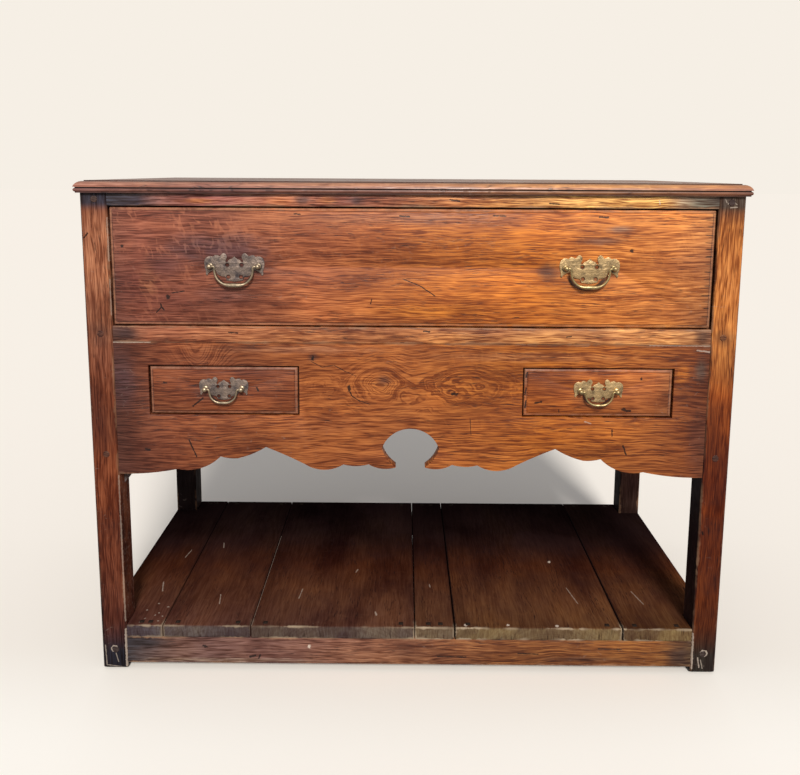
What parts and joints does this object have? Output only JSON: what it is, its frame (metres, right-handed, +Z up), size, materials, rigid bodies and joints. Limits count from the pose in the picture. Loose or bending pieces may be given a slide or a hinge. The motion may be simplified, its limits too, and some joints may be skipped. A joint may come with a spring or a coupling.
{
  "type": "lowboy",
  "caption": "Low country side table on square legs: moulded top, long drawer above a scrolled apron with a keyhole and small drawers, pierced bail handles, boarded shelf near the floor.",
  "frame": {"origin": "floor level, under the middle of the whole outline seen from above", "axes": "+X along the front to the right of someone who faces it, +Y from the front to the back, +Z up"},
  "size_m": [1.082, 0.4952, 0.85],
  "materials": {
    "oak_carcass": "old waxed oak, red brown with black grime at the joints",
    "oak_top": "old waxed oak",
    "oak_drawer_fronts": "old waxed oak with ray flecks",
    "oak_potboard": "worn dark oak",
    "oak_pegs": "riven oak, darkened",
    "oak_inside": "dry unpolished oak",
    "brass_handles": "old dull brass, rubbed bright on the high parts",
    "iron_nails": "hand made iron, dull"
  },
  "bodies": {
    "carcass": {"leg_front_left": "oak_carcass", "leg_front_right": "oak_carcass", "leg_back_left": "oak_carcass", "leg_back_right": "oak_carcass", "top_rail": "oak_carcass", "drawer_rail": "oak_carcass", "apron": "oak_carcass", "end_panel_left": "oak_carcass", "end_panel_right": "oak_carcass", "stretcher_front": "oak_carcass", "stretcher_back": "oak_carcass", "stretcher_left": "oak_carcass", "stretcher_right": "oak_carcass", "top_front_board": "oak_top", "top_back_board": "oak_top", "potboard_1": "oak_potboard", "potboard_2": "oak_potboard", "potboard_3": "oak_potboard", "potboard_4": "oak_potboard", "potboard_5": "oak_potboard", "potboard_6": "oak_potboard", "frame_pegs": "oak_pegs", "board_nails": "iron_nails", "glue_block_left": "oak_inside", "back_board_upper": "oak_inside", "back_board_lower": "oak_inside", "long_runner_left": "oak_inside", "long_runner_right": "oak_inside", "kicker_left": "oak_inside", "kicker_right": "oak_inside", "small_left_runners": "oak_inside", "small_right_runners": "oak_inside", "drawer_stops": "oak_inside"},
    "long_drawer": {"long_drawer_front": "oak_drawer_fronts", "long_drawer_side_left": "oak_inside", "long_drawer_side_right": "oak_inside", "long_drawer_back": "oak_inside", "long_drawer_bottom": "oak_inside", "long_plate_left": "brass_handles", "long_plate_right": "brass_handles", "long_posts": "brass_handles"},
    "small_left_drawer": {"small_left_drawer_front": "oak_drawer_fronts", "small_left_drawer_side_left": "oak_inside", "small_left_drawer_side_right": "oak_inside", "small_left_drawer_back": "oak_inside", "small_left_drawer_bottom": "oak_inside", "small_plate_left": "brass_handles", "small_left_posts": "brass_handles"},
    "small_right_drawer": {"small_right_drawer_front": "oak_drawer_fronts", "small_right_drawer_side_left": "oak_inside", "small_right_drawer_side_right": "oak_inside", "small_right_drawer_back": "oak_inside", "small_right_drawer_bottom": "oak_inside", "small_plate_right": "brass_handles", "small_right_posts": "brass_handles"},
    "long_bail_left": {"long_bail_left": "brass_handles"},
    "long_bail_right": {"long_bail_right": "brass_handles"},
    "small_bail_left": {"small_bail_left": "brass_handles"},
    "small_bail_right": {"small_bail_right": "brass_handles"}
  },
  "joints": [
    {"name": "long_drawer_slide", "type": "slide", "parent": "carcass", "child": "long_drawer", "axis": [0, -1, 0], "range_m": [0, 0.36]},
    {"name": "small_left_drawer_slide", "type": "slide", "parent": "carcass", "child": "small_left_drawer", "axis": [0, -1, 0], "range_m": [0, 0.3]},
    {"name": "small_right_drawer_slide", "type": "slide", "parent": "carcass", "child": "small_right_drawer", "axis": [0, -1, 0], "range_m": [0, 0.3]},
    {"name": "long_bail_left_hinge", "type": "hinge", "parent": "long_drawer", "child": "long_bail_left", "pos_m": [-0.2875, -0.2434, 0.713], "axis": [-1, 0, 0], "range_deg": [-5, 150]},
    {"name": "long_bail_right_hinge", "type": "hinge", "parent": "long_drawer", "child": "long_bail_right", "pos_m": [0.2875, -0.2434, 0.713], "axis": [-1, 0, 0], "range_deg": [-5, 150]},
    {"name": "small_bail_left_hinge", "type": "hinge", "parent": "small_left_drawer", "child": "small_bail_left", "pos_m": [-0.31, -0.2434, 0.5085], "axis": [-1, 0, 0], "range_deg": [-5, 150]},
    {"name": "small_bail_right_hinge", "type": "hinge", "parent": "small_right_drawer", "child": "small_bail_right", "pos_m": [0.31, -0.2434, 0.5085], "axis": [-1, 0, 0], "range_deg": [-5, 150]}
  ]
}
